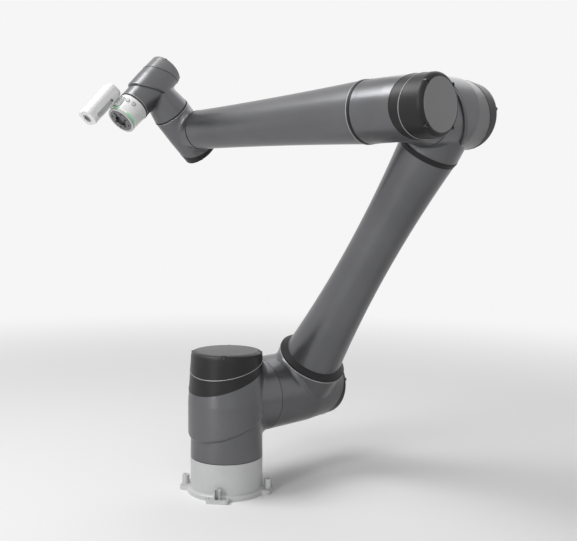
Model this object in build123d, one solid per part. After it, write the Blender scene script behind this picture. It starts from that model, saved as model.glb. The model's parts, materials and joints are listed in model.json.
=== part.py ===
from build123d import *
import math
import os
from dataclasses import dataclass

# Six-joint collaborative arm with a hand camera. Millimetres, +Z up, origin at the centre
# of the base's mounting face. +X points along the shoulder joint's axis, and at rest the
# forearm points along +Y.

# Arm layout, between the points where the joint axes cross
SHOULDER_HEIGHT = 228.0
SHOULDER_OFFSET = 246.5
UPPER_ARM_LENGTH = 840.5
ELBOW_OFFSET = 170.5
FOREARM_LENGTH = 737.0
WRIST_LENGTH = 156.0
HAND_LENGTH = 136.0

# Rest pose, in degrees
UPPER_ARM_LEAN = 34.25
FOREARM_DROP = 1.2
WRIST_ROLL = 45.2
CAMERA_TURN = 8.0

# Fits
SEAM_GAP = 1.6
LIP_CLEARANCE = 0.3
RUNNING_CLEARANCE = 0.05
SEAT_CLEARANCE = 0.05
JOINT_LINE = 0.4
TRIM_CLEARANCE = 0.2

# Base casting
BASE_RADIUS = 90.0
BASE_SEAM_HEIGHT = 90.0
BASE_WALL = 8.0
BASE_FLOOR = 11.0
FLANGE_RADIUS = 98.0
FLANGE_ROUND = 3.0
EAR_COUNT = 4
EAR_TURN = 37.5
EAR_REACH = 115.0
EAR_WIDTH = 56.0
EAR_CORNER = 9.0
BOLT_CIRCLE_RADIUS = 105.5
BOLT_HOLE_RADIUS = 4.5
LUG_RADIUS = 9.5
LUG_HEIGHT = 33.0
DOWEL_HOLE_RADIUS = 2.5
DOWEL_SPREAD = 20.5
BASE_COVER_THICKNESS = 3.0
BASE_COVER_RADIUS = 70.0
BASE_CABLE_BORE = 30.0
INLET_TURN = 82.5
INLET_HEIGHT = 46.0
INLET_BORE = 12.0
INLET_PAD_RADIUS = 20.0
INLET_PAD_REACH = 95.0
GLAND_RADIUS = 16.0
GLAND_COLLAR = 5.0
GLAND_NUT_RADIUS = 14.0
GLAND_DOME_RADIUS = 12.0
GLAND_DOME_ROUND = 3.0
GLAND_NUT = 14.0
GLAND_DOME = 7.0
GLAND_BORE = 7.0

# Castings. A drop runs from the crossing to the joint seam, a rise to the end of the cap,
# a neck from the seam to where the casting has its full radius.
SHOULDER_RADIUS = 96.0
SHOULDER_SEAM_RADIUS = 90.0
SHOULDER_RISE = 125.0
SHOULDER_CAP_RADIUS = 88.0
SHOULDER_NECK_LINE = -56.0
SHOULDER_CAP_LINE = 92.0
SHOULDER_COLLAR_LINE = 60.0
SHOULDER_BRANCH_ROOT = 82.0
SHOULDER_BRANCH_LENGTH = 104.0

KNUCKLE_RADIUS = 94.0
KNUCKLE_CAP_RADIUS = 87.0
KNUCKLE_RISE = 105.0
KNUCKLE_CAP_LINE = 78.0
KNUCKLE_BRANCH_ROOT = 86.0
KNUCKLE_BRANCH_RADIUS = 90.0
KNUCKLE_BRANCH_LENGTH = 99.0

ELBOW_RADIUS = 82.0
ELBOW_SEAM_RADIUS = 76.0
ELBOW_NECK_LINE = -30.0
ELBOW_CAP_RADIUS = 75.0
ELBOW_RISE = 84.0
ELBOW_CAP_LINE = 57.0
ELBOW_BRANCH_ROOT = 70.0
ELBOW_BRANCH_RADIUS = 72.0
ELBOW_BRANCH_LENGTH = 88.0

FOREARM_RADIUS = 69.5
FOREARM_CAP_RADIUS = 67.0
FOREARM_RISE = 103.0
FOREARM_REACH = 84.0
FOREARM_CAP_LINE = 66.0
FOREARM_COLLAR_LINE = 48.0
FOREARM_BRANCH_ROOT = 66.0
FOREARM_BRANCH_LENGTH = 86.0

WRIST_RADIUS = 50.5
WRIST_SEAM_RADIUS = 50.5
WRIST_CAP_RADIUS = 48.0
WRIST_DROP = 66.5
WRIST_RISE = 76.0
WRIST_CAP_LINE = 52.0
WRIST_BRANCH_ROOT = 44.0

HAND_RADIUS = 46.5
HAND_SEAM_RADIUS = 41.0
HAND_NECK_LINE = -22.0
HAND_CAP_RADIUS = 44.0
HAND_DROP = 77.0
HAND_RISE = 69.0
HAND_CAP_LINE = 42.0
HAND_BRANCH_ROOT = 36.0

LARGE_WALL = 9.0
MIDDLE_WALL = 7.0
SMALL_WALL = 5.0
LARGE_RIM = 12.0
MIDDLE_RIM = 11.0
SMALL_RIM = 8.0
RIM_DEPTH = 10.0
CAP_PLATE = 6.0
LARGE_CAP_ROUND = 10.0
SMALL_CAP_ROUND = 5.0
LARGE_NECK_ROUND = 8.0
SMALL_NECK_ROUND = 5.0
CORE_INSET = 1.0
SHOULDER_BLEND = 24.0
TUBE_BLEND = 12.0
FOREARM_BLEND = 16.0
WRIST_BLEND = 14.0
HAND_BLEND = 16.0

# Slopes of the caps' joint lines and the collars' lower edges, rise over run
CAP_SLOPE = 0.27
CAP_SIDE_SLOPE = 0.09
COLLAR_SLOPE = 0.37
END_CAP_SLOPE = 0.24
HAND_CAP_SLOPE = 0.4
NECK_SLOPE = 0.6
SHOULDER_NECK_SLOPE = 0.4

# Cap screws, in two sizes
SCREW_COUNT = 4
SCREW_TURN = 45.0
LARGE_SCREW = 3.0
SMALL_SCREW = 2.0
HEAD_RATIO = 1.6
SCREW_ENGAGEMENT = 8.0
POCKET_MARGIN = 1.0

# Upper arm tube, waisted between its two rings
LOWER_RING_LENGTH = 14.0
LOWER_RING_RADIUS = 91.0
UPPER_RING_LENGTH = 14.0
UPPER_RING_RADIUS = 72.5
UPPER_TUBE_LOWER_RADIUS = 75.5
UPPER_TUBE_WAIST_RADIUS = 58.6
UPPER_TUBE_UPPER_RADIUS = 70.0
UPPER_TUBE_WAIST = 400.0
UPPER_TUBE_LOWER_NECK = 70.0
UPPER_TUBE_UPPER_NECK = 63.0
TUBE_WALL = 6.0
SPIGOT_LENGTH = 12.0
RING_CHAMFER = 4.0

# Forearm tube
FOREARM_RING_LENGTH = 7.0
FOREARM_RING_RADIUS = 70.5
FOREARM_TUBE_START_RADIUS = 69.5
FOREARM_TUBE_MIDDLE_RADIUS = 60.5
FOREARM_TUBE_MIDDLE = 300.0
FOREARM_TUBE_END_RADIUS = 51.0
FOREARM_TUBE_NECK = 58.0
FOREARM_SEAM = 670.0
DRIVE_BAY_LENGTH = 110.0

# Cable harness inside the tubes
HARNESS_RADIUS = 9.0
GROMMET_LENGTH = 8.0

# Drives, one design in three sizes: radii and lengths of bore, journal, gear, motor, brake
LARGE_DRIVE = {"bore": 22.0, "journal": 52.0, "gear": 38.0, "motor_radius": 66.0,
               "motor": 58.0, "brake_radius": 48.0, "brake": 26.0}
MIDDLE_DRIVE = {"bore": 17.0, "journal": 42.0, "gear": 30.0, "motor_radius": 52.0,
                "motor": 44.0, "brake_radius": 38.0, "brake": 20.0}
SMALL_DRIVE = {"bore": 9.0, "journal": 24.0, "gear": 22.0, "motor_radius": 31.0,
               "motor": 36.0, "brake_radius": 24.0, "brake": 16.0}
GEAR_START = 1.2
PLATE_THICKNESS = 8.0
LIP_INSET = 3.0

# End module
MODULE_RADIUS = 40.5
MODULE_END_RADIUS = 38.0
MODULE_WALL = 6.0
LIGHT_RING_LENGTH = 5.0
FLANGE_COLLAR_LENGTH = 7.0
TOOL_FLANGE_RADIUS = 31.5
TOOL_FLANGE_PROUD = 1.5
TOOL_BORE_RADIUS = 15.75
TOOL_BORE_DEPTH = 6.0
TOOL_CIRCLE_RADIUS = 25.0
TOOL_HOLE_COUNT = 4
TOOL_HOLE_RADIUS = 2.5
TOOL_HOLE_DEPTH = 10.0
TOOL_DOWEL_RADIUS = 3.0
TOOL_DOWEL_DEPTH = 8.0
BUTTON_RADIUS = 4.5
BUTTON_ROUND = 0.8
BUTTON_PROUD = 1.6
BUTTON_POCKET = 4.0
BUTTON_TRAVEL = 1.0
BUTTON_SPREAD = 26.0
BUTTON_TURN = -50.0
BUTTON_STATION = 96.0

# Hand camera
CAMERA_OFFSET = 66.0
CAMERA_WIDTH = 44.0
CAMERA_DEPTH = 50.0
CAMERA_LENGTH = 114.0
CAMERA_START = 86.0
CAMERA_ROUND = 16.0
CAMERA_WALL = 3.0
CAMERA_COVER_LENGTH = 12.0

LENS_RADIUS = 7.5
LENS_BARREL_RADIUS = 12.0
LENS_BARREL_LENGTH = 24.0
LENS_RECESS = 4.0
LENS_GLASS_THICKNESS = 2.5
BRACKET_START = 92.0
BRACKET_LENGTH = 30.0
BRACKET_WIDTH = 30.0
BRACKET_SADDLE = 4.0
BRACKET_SADDLE_WIDTH = 44.0

# Joint frames and directions that follow from the sizes above
ACROSS = Vector(1, 0, 0)
UP = Vector(0, 0, 1)
LEAN = math.radians(UPPER_ARM_LEAN)
DROP = math.radians(FOREARM_DROP)
ROLL = math.radians(WRIST_ROLL)
UPPER_ARM = Vector(0, -math.sin(LEAN), math.cos(LEAN))
FOREARM = Vector(0, math.cos(DROP), -math.sin(DROP))
WRIST = ACROSS * -math.cos(ROLL) + ACROSS.cross(FOREARM) * math.sin(ROLL)
HAND = WRIST.cross(FOREARM)

SHOULDER_POINT = UP * SHOULDER_HEIGHT
KNUCKLE_POINT = SHOULDER_POINT + ACROSS * SHOULDER_OFFSET
ELBOW_POINT = KNUCKLE_POINT + UPPER_ARM * UPPER_ARM_LENGTH
FOREARM_POINT = ELBOW_POINT - ACROSS * ELBOW_OFFSET
WRIST_POINT = FOREARM_POINT + FOREARM * FOREARM_LENGTH
HAND_POINT = WRIST_POINT + WRIST * WRIST_LENGTH

SHOULDER_DROP = SHOULDER_HEIGHT - BASE_SEAM_HEIGHT
KNUCKLE_DROP = SHOULDER_OFFSET - SHOULDER_BRANCH_LENGTH
ELBOW_DROP = ELBOW_OFFSET - FOREARM_BRANCH_LENGTH
WRIST_BRANCH_LENGTH = FOREARM_LENGTH - FOREARM_SEAM
HAND_BRANCH_LENGTH = WRIST_LENGTH - WRIST_DROP
UPPER_TUBE_START = KNUCKLE_BRANCH_LENGTH + LOWER_RING_LENGTH
UPPER_TUBE_END = UPPER_ARM_LENGTH - ELBOW_BRANCH_LENGTH - UPPER_RING_LENGTH
FOREARM_TUBE_START = FOREARM_REACH + FOREARM_RING_LENGTH

HUGE = 1000.0


# Frames: z from the joint seam towards the cap, x along the branch, origin at the crossing
def crossing(point, towards_cap, along_branch):
    return Plane(origin=point, x_dir=along_branch, z_dir=towards_cap)


SHOULDER_FRAME = crossing(SHOULDER_POINT, UP, ACROSS)
KNUCKLE_FRAME = crossing(KNUCKLE_POINT, ACROSS, UPPER_ARM)
ELBOW_FRAME = crossing(ELBOW_POINT, ACROSS, UPPER_ARM * -1)
FOREARM_FRAME = crossing(FOREARM_POINT, FOREARM * -1, ACROSS)
WRIST_FRAME = crossing(WRIST_POINT, WRIST * -1, FOREARM * -1)
HAND_FRAME = crossing(HAND_POINT, HAND * -1, WRIST * -1)
UPPER_TUBE_FRAME = crossing(KNUCKLE_POINT, UPPER_ARM, ACROSS)
FOREARM_TUBE_FRAME = crossing(FOREARM_POINT, FOREARM, ACROSS)
MODULE_FRAME = crossing(HAND_POINT, HAND, WRIST)


def seam(frame, drop):
    return frame.offset(-drop)


J1_SEAM = seam(SHOULDER_FRAME, SHOULDER_DROP)
J2_SEAM = seam(KNUCKLE_FRAME, KNUCKLE_DROP)
J3_SEAM = seam(ELBOW_FRAME, ELBOW_DROP)
J4_SEAM = seam(FOREARM_FRAME, FOREARM_SEAM)
J5_SEAM = seam(WRIST_FRAME, WRIST_DROP)
J6_SEAM = seam(HAND_FRAME, HAND_DROP)


def save(node, shape, frame=Plane.XY):
    placed = frame.location * shape
    solids = placed.solids()
    export_step(solids[0] if len(solids) == 1 else Compound(children=solids), f"parts/{node}.step")


# A solid of revolution about Z from (radius, height) corners. rounds holds (corner, radius).
def turned(corners, rounds=()):
    outline = Polygon(*corners, align=None)
    for corner, radius in rounds:
        vertex = outline.vertices().sort_by_distance((*corner, 0))[0]
        outline = fillet(vertex, radius)
    return revolve(Plane.XZ * outline, Axis.Z)


def ring(inner, outer, bottom, top):
    return turned([(inner, bottom), (outer, bottom), (outer, top), (inner, top)])


def rod(radius, bottom, top):
    return Pos(0, 0, bottom) * Cylinder(radius, top - bottom, align=(Align.CENTER, Align.CENTER, Align.MIN))


# Everything above the plane z = height + slope * x + side_slope * y
def above(height, slope, side_slope):
    tilted = Plane(origin=(0, 0, height), x_dir=(1, 0, slope), z_dir=(-slope, -side_slope, 1))
    return tilted * Box(HUGE, HUGE, HUGE, align=(Align.CENTER, Align.CENTER, Align.MIN))


# Cone-shaped branch along +X
def branch(root, end, length):
    return Plane.YZ * turned([(0, 0), (root, 0), (end, length), (0, length)])


# A T-shaped casting: a long body about Z with a cap on top, and a branch along +X.
# cap_plane and edge_plane are the slanted joint planes under the cap and on top of the
# housing. Between two different planes lies the collar.
@dataclass
class Casting:
    radius: float
    seam_radius: float
    drop: float
    rise: float
    cap_radius: float
    branch_root: float
    branch_end: float
    branch_length: float
    seat_depth: float
    cap_plane: tuple
    edge_plane: tuple
    wall: float
    rim: float
    blend: float
    cap_round: float
    screw: float
    neck_plane: tuple = ()
    neck_round: float = 0.0

    def full_body(self):
        edge = (self.cap_radius, self.rise)
        return turned([(0, -self.drop), (self.radius, -self.drop), (self.radius, 0), edge, (0, self.rise)],
                      [(edge, self.cap_round)])

    # A casting with a neck is a slim core, blended into the branch, inside a wider body
    # that starts at the slanted neck plane with a rounded rim
    def outside(self):
        arm = branch(self.branch_root, self.branch_end, self.branch_length)
        if not self.neck_plane:
            return self.blended(self.full_body(), arm)
        top_radius = min(self.cap_radius, self.seam_radius) - CORE_INSET
        core_top = self.rise - self.cap_round
        core = turned([(0, -self.drop), (self.seam_radius, -self.drop), (top_radius, core_top), (0, core_top)])
        wide = self.full_body() & above(*self.neck_plane, 0)
        rim = wide.faces().filter_by(GeomType.PLANE).sort_by(Axis.Z)[0].edges()
        return self.blended(core, arm) + fillet(rim, self.neck_round)

    def blended(self, body, arm):
        joined = body + arm
        return fillet(new_edges(body, arm, combined=joined), self.blend)

    def hollow(self):
        rim_start = self.edge_height(-self.radius, 0) - RIM_DEPTH
        bore_radius = self.seam_radius - self.wall
        rim_radius = self.cap_radius - self.rim
        ceiling = self.rise - CAP_PLATE
        return turned([(0, -self.drop - 1), (bore_radius, -self.drop - 1), (bore_radius, rim_start),
                       (rim_radius, rim_start), (rim_radius, ceiling), (0, ceiling)])

    def edge_height(self, x, y):
        height, slope, side_slope = self.edge_plane
        return height + slope * x + side_slope * y

    def screw_spots(self):
        reach = self.cap_radius - self.screw * HEAD_RATIO
        turns = [math.radians(SCREW_TURN + 360 / SCREW_COUNT * index) for index in range(SCREW_COUNT)]
        return [(reach * math.cos(turn), reach * math.sin(turn)) for turn in turns]

    def screw_seat(self):
        return self.rise - self.screw * 2 - POCKET_MARGIN

    def screw_tip(self, x, y):
        return self.edge_height(x, y) - SCREW_ENGAGEMENT

    def screw_holes(self):
        holes = []
        for x, y in self.screw_spots():
            shank = rod(self.screw + TRIM_CLEARANCE, self.screw_tip(x, y) - 1, self.rise + 1)
            pocket = rod(self.screw * HEAD_RATIO + POCKET_MARGIN, self.screw_seat(), self.rise + 1)
            holes.append(Pos(x, y, 0) * (shank + pocket))
        return holes

    # Socket-head screws, one solid each
    def screws(self):
        seat = self.screw_seat()
        socket = Pos(0, 0, seat + self.screw) * extrude(RegularPolygon(self.screw, 6), self.screw * 2)
        head = rod(self.screw * HEAD_RATIO, seat, seat + self.screw * 2) - socket
        return [Pos(x, y, 0) * (head + rod(self.screw, self.screw_tip(x, y), seat))
                for x, y in self.screw_spots()]

    # The housing, the cap and the collar between them, all cut from one shell
    def pieces(self):
        seat_start = self.branch_length - self.seat_depth
        seat_radius = self.branch_end - self.wall
        seat = Plane.YZ * rod(seat_radius, seat_start, self.branch_length + 1)
        bore = branch(self.branch_root - self.wall - 1, seat_radius - 1, self.branch_length)
        shell = self.outside() - self.hollow() - bore - seat - self.screw_holes()
        housing = shell - above(*self.edge_plane)
        cap_height, *cap_slopes = self.cap_plane
        edge_height, *edge_slopes = self.edge_plane
        cap = shell & above(cap_height + JOINT_LINE, *cap_slopes)
        collar = (shell & above(edge_height + JOINT_LINE, *edge_slopes)) - above(*self.cap_plane)
        return housing, cap, collar


SHOULDER = Casting(
    radius=SHOULDER_RADIUS, seam_radius=SHOULDER_SEAM_RADIUS, drop=SHOULDER_DROP,
    rise=SHOULDER_RISE, cap_radius=SHOULDER_CAP_RADIUS, branch_root=SHOULDER_BRANCH_ROOT,
    branch_end=KNUCKLE_RADIUS, branch_length=SHOULDER_BRANCH_LENGTH - SEAM_GAP,
    seat_depth=PLATE_THICKNESS, cap_plane=(SHOULDER_CAP_LINE, CAP_SLOPE, CAP_SIDE_SLOPE),
    edge_plane=(SHOULDER_COLLAR_LINE, COLLAR_SLOPE, 0.0), wall=LARGE_WALL, rim=LARGE_RIM,
    blend=SHOULDER_BLEND, cap_round=LARGE_CAP_ROUND, screw=LARGE_SCREW,
    neck_plane=(SHOULDER_NECK_LINE, SHOULDER_NECK_SLOPE), neck_round=LARGE_NECK_ROUND)
KNUCKLE = Casting(
    radius=KNUCKLE_RADIUS, seam_radius=KNUCKLE_RADIUS, drop=KNUCKLE_DROP, rise=KNUCKLE_RISE,
    cap_radius=KNUCKLE_CAP_RADIUS, branch_root=KNUCKLE_BRANCH_ROOT, branch_end=KNUCKLE_BRANCH_RADIUS,
    branch_length=KNUCKLE_BRANCH_LENGTH, seat_depth=SPIGOT_LENGTH,
    cap_plane=(KNUCKLE_CAP_LINE, END_CAP_SLOPE, 0.0), edge_plane=(KNUCKLE_CAP_LINE, END_CAP_SLOPE, 0.0),
    wall=LARGE_WALL, rim=LARGE_RIM, blend=TUBE_BLEND, cap_round=LARGE_CAP_ROUND, screw=LARGE_SCREW)
ELBOW = Casting(
    radius=ELBOW_RADIUS, seam_radius=ELBOW_SEAM_RADIUS, drop=ELBOW_DROP, rise=ELBOW_RISE,
    cap_radius=ELBOW_CAP_RADIUS, branch_root=ELBOW_BRANCH_ROOT, branch_end=ELBOW_BRANCH_RADIUS,
    branch_length=ELBOW_BRANCH_LENGTH, seat_depth=SPIGOT_LENGTH,
    cap_plane=(ELBOW_CAP_LINE, END_CAP_SLOPE, 0.0), edge_plane=(ELBOW_CAP_LINE, END_CAP_SLOPE, 0.0),
    wall=MIDDLE_WALL, rim=MIDDLE_RIM, blend=TUBE_BLEND, cap_round=LARGE_CAP_ROUND, screw=LARGE_SCREW,
    neck_plane=(ELBOW_NECK_LINE, NECK_SLOPE), neck_round=SMALL_NECK_ROUND)
FOREARM_ROOT = Casting(
    radius=FOREARM_RADIUS, seam_radius=FOREARM_RADIUS, drop=FOREARM_REACH, rise=FOREARM_RISE,
    cap_radius=FOREARM_CAP_RADIUS, branch_root=FOREARM_BRANCH_ROOT, branch_end=ELBOW_SEAM_RADIUS,
    branch_length=FOREARM_BRANCH_LENGTH - SEAM_GAP, seat_depth=PLATE_THICKNESS,
    cap_plane=(FOREARM_CAP_LINE, CAP_SLOPE, CAP_SIDE_SLOPE),
    edge_plane=(FOREARM_COLLAR_LINE, COLLAR_SLOPE, 0.0), wall=MIDDLE_WALL, rim=MIDDLE_RIM,
    blend=FOREARM_BLEND, cap_round=LARGE_CAP_ROUND, screw=LARGE_SCREW)
WRIST_JOINT = Casting(
    radius=WRIST_RADIUS, seam_radius=WRIST_SEAM_RADIUS, drop=WRIST_DROP, rise=WRIST_RISE,
    cap_radius=WRIST_CAP_RADIUS, branch_root=WRIST_BRANCH_ROOT, branch_end=FOREARM_TUBE_END_RADIUS,
    branch_length=WRIST_BRANCH_LENGTH - SEAM_GAP, seat_depth=PLATE_THICKNESS,
    cap_plane=(WRIST_CAP_LINE, END_CAP_SLOPE, 0.0), edge_plane=(WRIST_CAP_LINE, END_CAP_SLOPE, 0.0),
    wall=SMALL_WALL, rim=SMALL_RIM, blend=WRIST_BLEND, cap_round=SMALL_CAP_ROUND, screw=SMALL_SCREW)
HAND_JOINT = Casting(
    radius=HAND_RADIUS, seam_radius=HAND_SEAM_RADIUS, drop=HAND_DROP, rise=HAND_RISE,
    cap_radius=HAND_CAP_RADIUS, branch_root=HAND_BRANCH_ROOT, branch_end=WRIST_SEAM_RADIUS,
    branch_length=HAND_BRANCH_LENGTH - SEAM_GAP, seat_depth=PLATE_THICKNESS,
    cap_plane=(HAND_CAP_LINE, HAND_CAP_SLOPE, 0.0), edge_plane=(HAND_CAP_LINE, HAND_CAP_SLOPE, 0.0),
    wall=SMALL_WALL, rim=SMALL_RIM, blend=HAND_BLEND, cap_round=SMALL_CAP_ROUND, screw=SMALL_SCREW,
    neck_plane=(HAND_NECK_LINE, NECK_SLOPE), neck_round=SMALL_NECK_ROUND)


def around(count, turn, shapes):
    return [Rot(0, 0, turn + 360 / count * index) * shape for index in range(count) for shape in shapes]


# Base
def ears():
    tab = Rectangle(EAR_REACH, EAR_WIDTH, align=(Align.MIN, Align.CENTER))
    tips = tab.vertices().filter_by(lambda vertex: vertex.X > EAR_REACH / 2)
    plate = extrude(fillet(tips, EAR_CORNER), BASE_FLOOR)
    lug = Pos(BOLT_CIRCLE_RADIUS, 0, 0) * rod(LUG_RADIUS, 0, LUG_HEIGHT)
    slot = Pos(BOLT_CIRCLE_RADIUS, 0, BASE_FLOOR) * Box(
        LUG_RADIUS * 2, BOLT_HOLE_RADIUS * 2, LUG_HEIGHT, align=(Align.MIN, Align.CENTER, Align.MIN))
    bolt_hole = Pos(BOLT_CIRCLE_RADIUS, 0, 0) * rod(BOLT_HOLE_RADIUS, -1, LUG_HEIGHT + 1)
    dowels = [Pos(BOLT_CIRCLE_RADIUS, side * DOWEL_SPREAD, 0) * rod(DOWEL_HOLE_RADIUS, -1, BASE_FLOOR + 1)
              for side in (-1, 1)]
    ear = plate + lug - slot
    return around(EAR_COUNT, EAR_TURN, [ear]), around(EAR_COUNT, EAR_TURN, [bolt_hole, *dowels])


def inlet_axis():
    return Rot(0, 0, INLET_TURN) * Pos(0, 0, INLET_HEIGHT) * Rot(0, 90, 0)


def base_casting():
    top = BASE_SEAM_HEIGHT - SEAM_GAP
    flange_edge = (FLANGE_RADIUS, BASE_FLOOR)
    solid = turned([(0, 0), (FLANGE_RADIUS, 0), flange_edge, (BASE_RADIUS, BASE_FLOOR + FLANGE_ROUND),
                    (BASE_RADIUS, top), (0, top)], [(flange_edge, FLANGE_ROUND)])
    tabs, holes = ears()
    pad = inlet_axis() * rod(INLET_PAD_RADIUS, BASE_RADIUS / 2, INLET_PAD_REACH)
    inlet = inlet_axis() * rod(INLET_BORE, 0, INLET_PAD_REACH + 1)
    inside = rod(BASE_RADIUS - BASE_WALL, BASE_FLOOR, top + 1)
    cover_recess = rod(BASE_COVER_RADIUS, -1, BASE_COVER_THICKNESS)
    cable_bore = rod(BASE_CABLE_BORE, 0, BASE_FLOOR + 1)
    return solid + tabs + pad - inside - holes - inlet - cover_recess - cable_bore


def base_cover():
    return rod(BASE_COVER_RADIUS - TRIM_CLEARANCE, TRIM_CLEARANCE, BASE_COVER_THICKNESS)


def inlet_gland():
    collar_end = INLET_PAD_REACH + GLAND_COLLAR
    nut_end = collar_end + GLAND_NUT
    dome_edge = (GLAND_DOME_RADIUS, nut_end + GLAND_DOME)
    inside = BASE_RADIUS - BASE_WALL
    spigot = rod(INLET_BORE - SEAT_CLEARANCE, inside, INLET_PAD_REACH)
    collar = rod(GLAND_RADIUS, INLET_PAD_REACH, collar_end)
    nut = Pos(0, 0, collar_end) * extrude(RegularPolygon(GLAND_NUT_RADIUS, 6), GLAND_NUT)
    dome = turned([(0, nut_end), (dome_edge[0], nut_end), dome_edge, (0, dome_edge[1])],
                  [(dome_edge, GLAND_DOME_ROUND)])
    gland = spigot + collar + nut + dome - rod(GLAND_BORE, inside - 1, dome_edge[1] + 1)
    return inlet_axis() * gland


# Drives, in the frame of a joint seam: z runs from the seam into the housing
def output_ring(drive, parent_bore, seam_radius):
    start = -SEAM_GAP - PLATE_THICKNESS
    lip = seam_radius - LIP_INSET
    seat = parent_bore - SEAT_CLEARANCE
    top = GEAR_START + drive["gear"] - LIP_CLEARANCE
    return turned([(drive["bore"], start), (seat, start), (seat, -SEAM_GAP), (lip, -SEAM_GAP),
                   (lip, -LIP_CLEARANCE), (drive["journal"], -LIP_CLEARANCE), (drive["journal"], top),
                   (drive["bore"], top)])


def gear_unit(drive, housing_bore):
    return ring(drive["journal"] + RUNNING_CLEARANCE, housing_bore - SEAT_CLEARANCE, GEAR_START,
                GEAR_START + drive["gear"])


def motor(drive):
    start = GEAR_START + drive["gear"]
    step = start + drive["motor"]
    end = step + drive["brake"]
    return turned([(drive["bore"], start), (drive["motor_radius"], start), (drive["motor_radius"], step),
                   (drive["brake_radius"], step), (drive["brake_radius"], end), (drive["bore"], end)])


def save_drive(joint, drive, frame, parent_bore, seam_radius, housing_bore):
    save(f"{joint}_output_ring", output_ring(drive, parent_bore, seam_radius), frame)
    save(f"{joint}_gear_unit", gear_unit(drive, housing_bore), frame)
    save(f"{joint}_motor", motor(drive), frame)


# Tubes
def waisted(stations, inset):
    bottom, top = stations[0][1], stations[-1][1]
    curve = Spline(*[(radius - inset, height) for radius, height in stations])
    outline = curve + Polyline(curve @ 1, (0, top), (0, bottom), curve @ 0)
    return revolve(Plane.XZ * make_face(outline), Axis.Z)


def tube_hollow(stations):
    start, end = stations[0][1] + TUBE_WALL, stations[-1][1] - TUBE_WALL
    return waisted(stations, TUBE_WALL) & rod(HUGE, start, end)


def upper_tube():
    stations = [(UPPER_TUBE_LOWER_RADIUS, UPPER_TUBE_START), (UPPER_TUBE_WAIST_RADIUS, UPPER_TUBE_WAIST),
                (UPPER_TUBE_UPPER_RADIUS, UPPER_TUBE_END)]
    lower_seat = KNUCKLE_BRANCH_RADIUS - LARGE_WALL - SEAT_CLEARANCE
    upper_seat = ELBOW_BRANCH_RADIUS - MIDDLE_WALL - SEAT_CLEARANCE
    lower = UPPER_TUBE_START - LOWER_RING_LENGTH
    upper = UPPER_TUBE_END + UPPER_RING_LENGTH
    solid = waisted(stations, 0)
    lower_end = lower - SPIGOT_LENGTH
    upper_end = upper + SPIGOT_LENGTH
    solid += rod(UPPER_TUBE_LOWER_NECK, lower, UPPER_TUBE_START) + rod(lower_seat, lower_end, lower)
    solid += rod(UPPER_TUBE_UPPER_NECK, UPPER_TUBE_END, upper) + rod(upper_seat, upper, upper_end)
    lower_bore = rod(UPPER_TUBE_LOWER_NECK - TUBE_WALL, lower_end - 1, UPPER_TUBE_START + TUBE_WALL)
    upper_bore = rod(UPPER_TUBE_UPPER_NECK - TUBE_WALL, UPPER_TUBE_END - TUBE_WALL, upper_end + 1)
    return solid - tube_hollow(stations) - lower_bore - upper_bore


def lower_ring():
    start = UPPER_TUBE_START - LOWER_RING_LENGTH
    return turned([(UPPER_TUBE_LOWER_NECK + SEAT_CLEARANCE, start), (LOWER_RING_RADIUS, start),
                   (LOWER_RING_RADIUS, start + RING_CHAMFER), (UPPER_TUBE_LOWER_RADIUS, UPPER_TUBE_START),
                   (UPPER_TUBE_LOWER_NECK + SEAT_CLEARANCE, UPPER_TUBE_START)])


def upper_ring():
    end = UPPER_TUBE_END + UPPER_RING_LENGTH
    return turned([(UPPER_TUBE_UPPER_NECK + SEAT_CLEARANCE, UPPER_TUBE_END),
                   (UPPER_TUBE_UPPER_RADIUS, UPPER_TUBE_END), (UPPER_RING_RADIUS, end - RING_CHAMFER),
                   (UPPER_RING_RADIUS, end), (UPPER_TUBE_UPPER_NECK + SEAT_CLEARANCE, end)])


def upper_harness():
    lower = UPPER_TUBE_START - LOWER_RING_LENGTH
    upper = UPPER_TUBE_END + UPPER_RING_LENGTH
    cable = rod(HARNESS_RADIUS, lower - SPIGOT_LENGTH, upper + SPIGOT_LENGTH)
    lower_grommet = rod(UPPER_TUBE_LOWER_NECK - TUBE_WALL - SEAT_CLEARANCE, lower, lower + GROMMET_LENGTH)
    upper_grommet = rod(UPPER_TUBE_UPPER_NECK - TUBE_WALL - SEAT_CLEARANCE, upper - GROMMET_LENGTH, upper)
    return cable + lower_grommet + upper_grommet


def forearm_tube():
    stations = [(FOREARM_TUBE_START_RADIUS, FOREARM_TUBE_START),
                (FOREARM_TUBE_MIDDLE_RADIUS, FOREARM_TUBE_MIDDLE), (FOREARM_TUBE_END_RADIUS, FOREARM_SEAM)]
    seat = FOREARM_RADIUS - MIDDLE_WALL - SEAT_CLEARANCE
    neck = FOREARM_TUBE_START - FOREARM_RING_LENGTH
    solid = waisted(stations, 0) + rod(FOREARM_TUBE_NECK, neck, FOREARM_TUBE_START)
    solid += rod(seat, neck - SPIGOT_LENGTH, neck)
    neck_bore = rod(FOREARM_TUBE_NECK - TUBE_WALL, neck - SPIGOT_LENGTH - 1, FOREARM_TUBE_START + TUBE_WALL)
    bay = rod(FOREARM_TUBE_END_RADIUS - TUBE_WALL, FOREARM_SEAM - DRIVE_BAY_LENGTH, FOREARM_SEAM + 1)
    return solid - tube_hollow(stations) - neck_bore - bay


def forearm_ring():
    return ring(FOREARM_TUBE_NECK + SEAT_CLEARANCE, FOREARM_RING_RADIUS, FOREARM_REACH, FOREARM_TUBE_START)


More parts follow.
